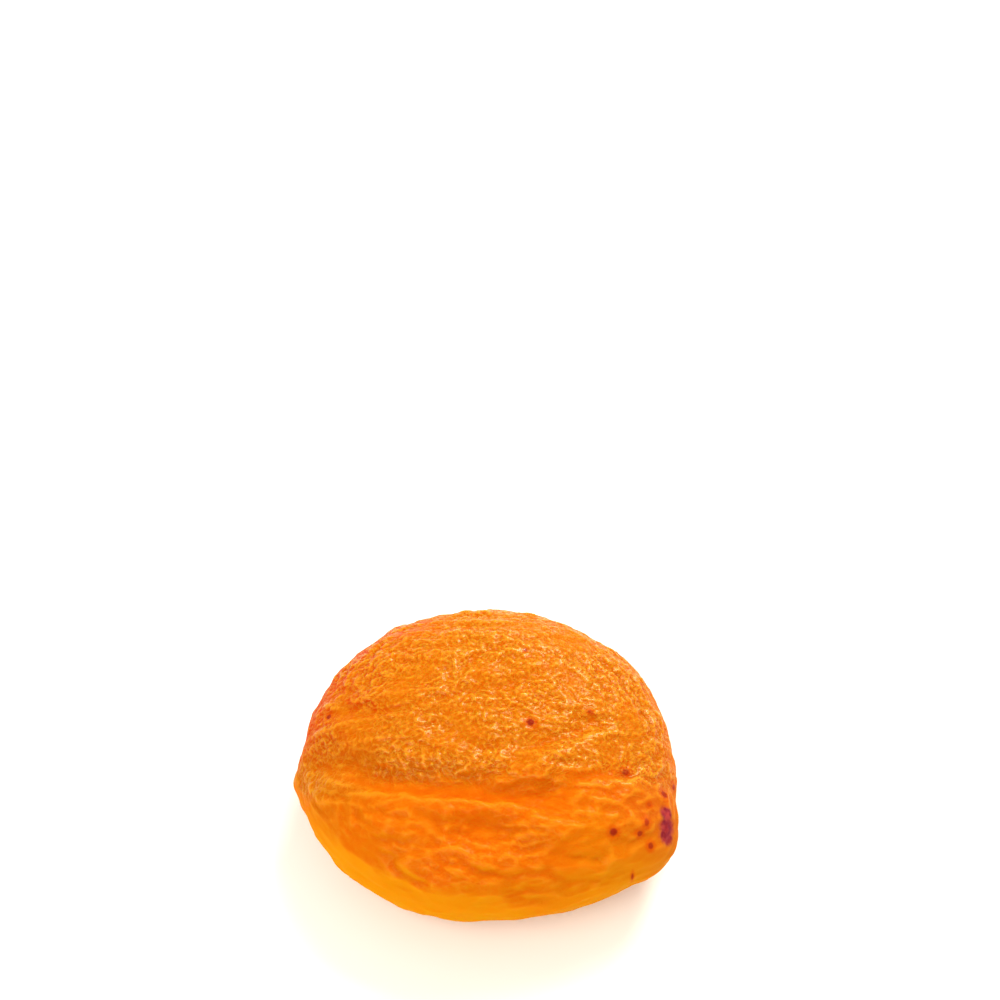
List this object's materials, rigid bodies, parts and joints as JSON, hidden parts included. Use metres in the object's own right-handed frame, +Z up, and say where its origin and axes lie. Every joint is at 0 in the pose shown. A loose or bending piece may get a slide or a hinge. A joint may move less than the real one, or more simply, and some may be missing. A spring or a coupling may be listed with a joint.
{
  "type": "dried apricot",
  "caption": "Whole pitted dried apricot, plump and pillow-shaped, wrinkled, with its suture furrow across the top, lying on a small flat spot.",
  "frame": {"origin": "bottom centre of the fruit's box, in the plane of the small flat spot that it rests on", "axes": "+Z up, +X towards the stem end, -X towards the pointed tip; the suture crosses the upper side nearer -Y"},
  "size_m": [0.0402, 0.0358, 0.0157],
  "materials": {
    "flesh": "moist, half gloss, slightly translucent, finely wrinkled"
  },
  "bodies": {
    "root": {"apricot": "flesh"}
  },
  "joints": []
}
